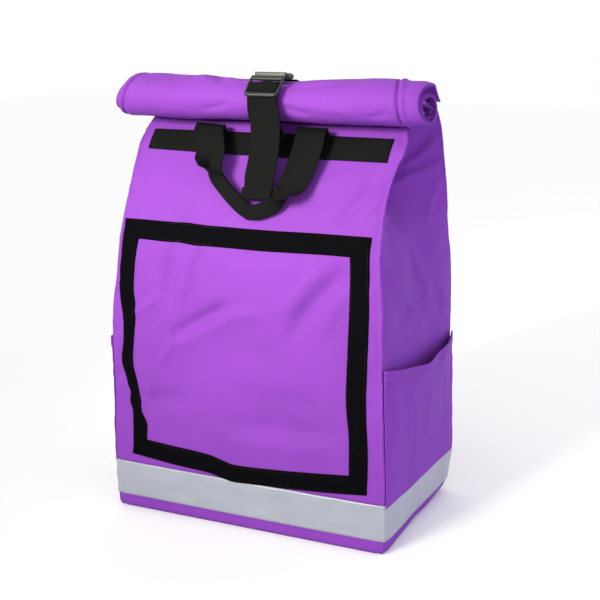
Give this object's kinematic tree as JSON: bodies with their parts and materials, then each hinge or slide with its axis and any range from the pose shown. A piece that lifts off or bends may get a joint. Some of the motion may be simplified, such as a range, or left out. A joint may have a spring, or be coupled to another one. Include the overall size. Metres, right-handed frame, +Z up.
{
  "type": "roll-top delivery backpack",
  "caption": "Tall cloth backpack with a rolled top held by a webbing strap and side-release buckle, side pockets, a fastener frame and a reflective band.",
  "frame": {"origin": "middle of the flat base, on the floor", "axes": "+Z up through the rolled top, -Y towards the front with the fastener frame, +X to the right of someone who looks at the front"},
  "size_m": [0.4404, 0.3096, 0.6032],
  "materials": {
    "purple_cloth": "coated plain-weave polyester, soft satin sheen",
    "black_webbing": "ribbed matte webbing",
    "hook_fastener": "dense black loop pile",
    "reflective_tape": "silver-grey reflective tape with a fine weave",
    "black_plastic": "moulded, lightly textured",
    "black_padding": "padded black cloth"
  },
  "bodies": {
    "root": {"bag_shell": "purple_cloth", "rolled_top": "purple_cloth", "side_pocket_right": "purple_cloth", "side_pocket_left": "purple_cloth", "reflective_band": "reflective_tape", "fastener_top": "hook_fastener", "fastener_bottom": "hook_fastener", "fastener_left": "hook_fastener", "fastener_right": "hook_fastener", "top_band": "black_webbing", "carry_handle": "black_webbing", "closure_strap": "black_webbing", "rear_strap": "black_webbing", "buckle_latch": "black_plastic", "buckle_socket": "black_plastic", "shoulder_strap_left": "black_padding", "shoulder_strap_right": "black_padding", "strap_webbing_left": "black_webbing", "strap_webbing_right": "black_webbing", "ladder_lock_left": "black_plastic", "ladder_lock_right": "black_plastic"}
  },
  "joints": []
}
